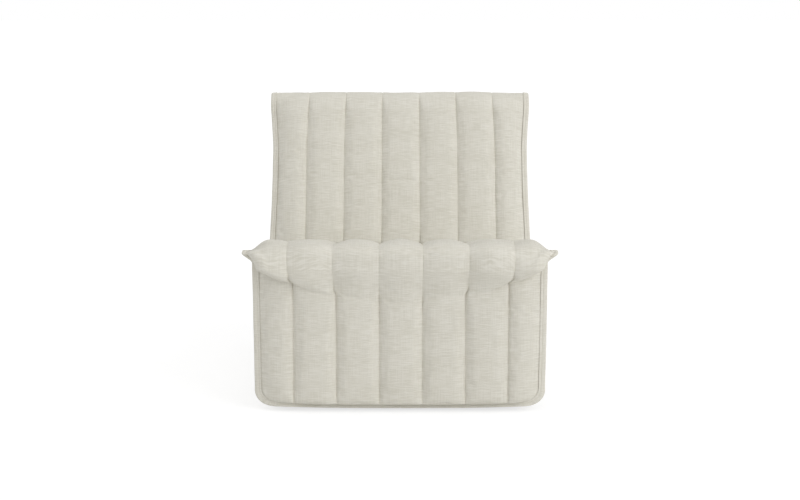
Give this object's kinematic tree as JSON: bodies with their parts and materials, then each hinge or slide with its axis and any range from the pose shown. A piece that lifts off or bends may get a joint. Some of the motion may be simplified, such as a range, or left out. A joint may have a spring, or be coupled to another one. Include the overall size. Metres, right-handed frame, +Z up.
{
  "type": "armless lounge chair",
  "caption": "Low armless lounge chair wrapped in channel-quilted cloth, with a soft seat roll, pointed ears and a flat sewn welt.",
  "frame": {"origin": "on the floor, under the middle of the chair's bounding box", "axes": "+X to the right seen from the front, +Y to the rear, +Z up"},
  "size_m": [0.8, 0.9098, 0.7599],
  "materials": {
    "linen_weave": "woven linen-like cloth, matte",
    "dust_cloth": "thin non-woven cloth",
    "foam": "open-cell foam",
    "webbing": "woven elastic strap",
    "plywood": "sanded plywood",
    "fibreboard": "pressed board",
    "pine": "planed softwood",
    "glide_plastic": "moulded plastic",
    "nail_steel": "plain steel"
  },
  "bodies": {
    "root": {"back_board": "fibreboard", "back_cross_straps": "webbing", "back_foam": "foam", "back_long_straps": "webbing", "back_quilt": "linen_weave", "back_rail": "pine", "centre_stretcher": "pine", "corner_blocks": "pine", "dust_cover": "dust_cloth", "front_dowels": "pine", "front_foam": "foam", "front_hem_welt": "linen_weave", "front_rail": "pine", "glide_nails": "nail_steel", "glides": "glide_plastic", "left_runner": "pine", "left_side_cover": "linen_weave", "left_side_foam": "foam", "left_side_panel": "plywood", "left_side_welt": "linen_weave", "nose_foam": "foam", "rear_foam": "foam", "rear_hem_welt": "linen_weave", "rear_rail": "pine", "right_runner": "pine", "right_side_cover": "linen_weave", "right_side_foam": "foam", "right_side_panel": "plywood", "right_side_welt": "linen_weave", "seat_core_foam": "foam", "seat_cross_straps": "webbing", "seat_long_straps": "webbing", "seat_quilt": "linen_weave", "seat_rail": "pine", "seat_topper_foam": "foam", "top_foam": "foam", "top_rail": "pine"}
  },
  "joints": []
}
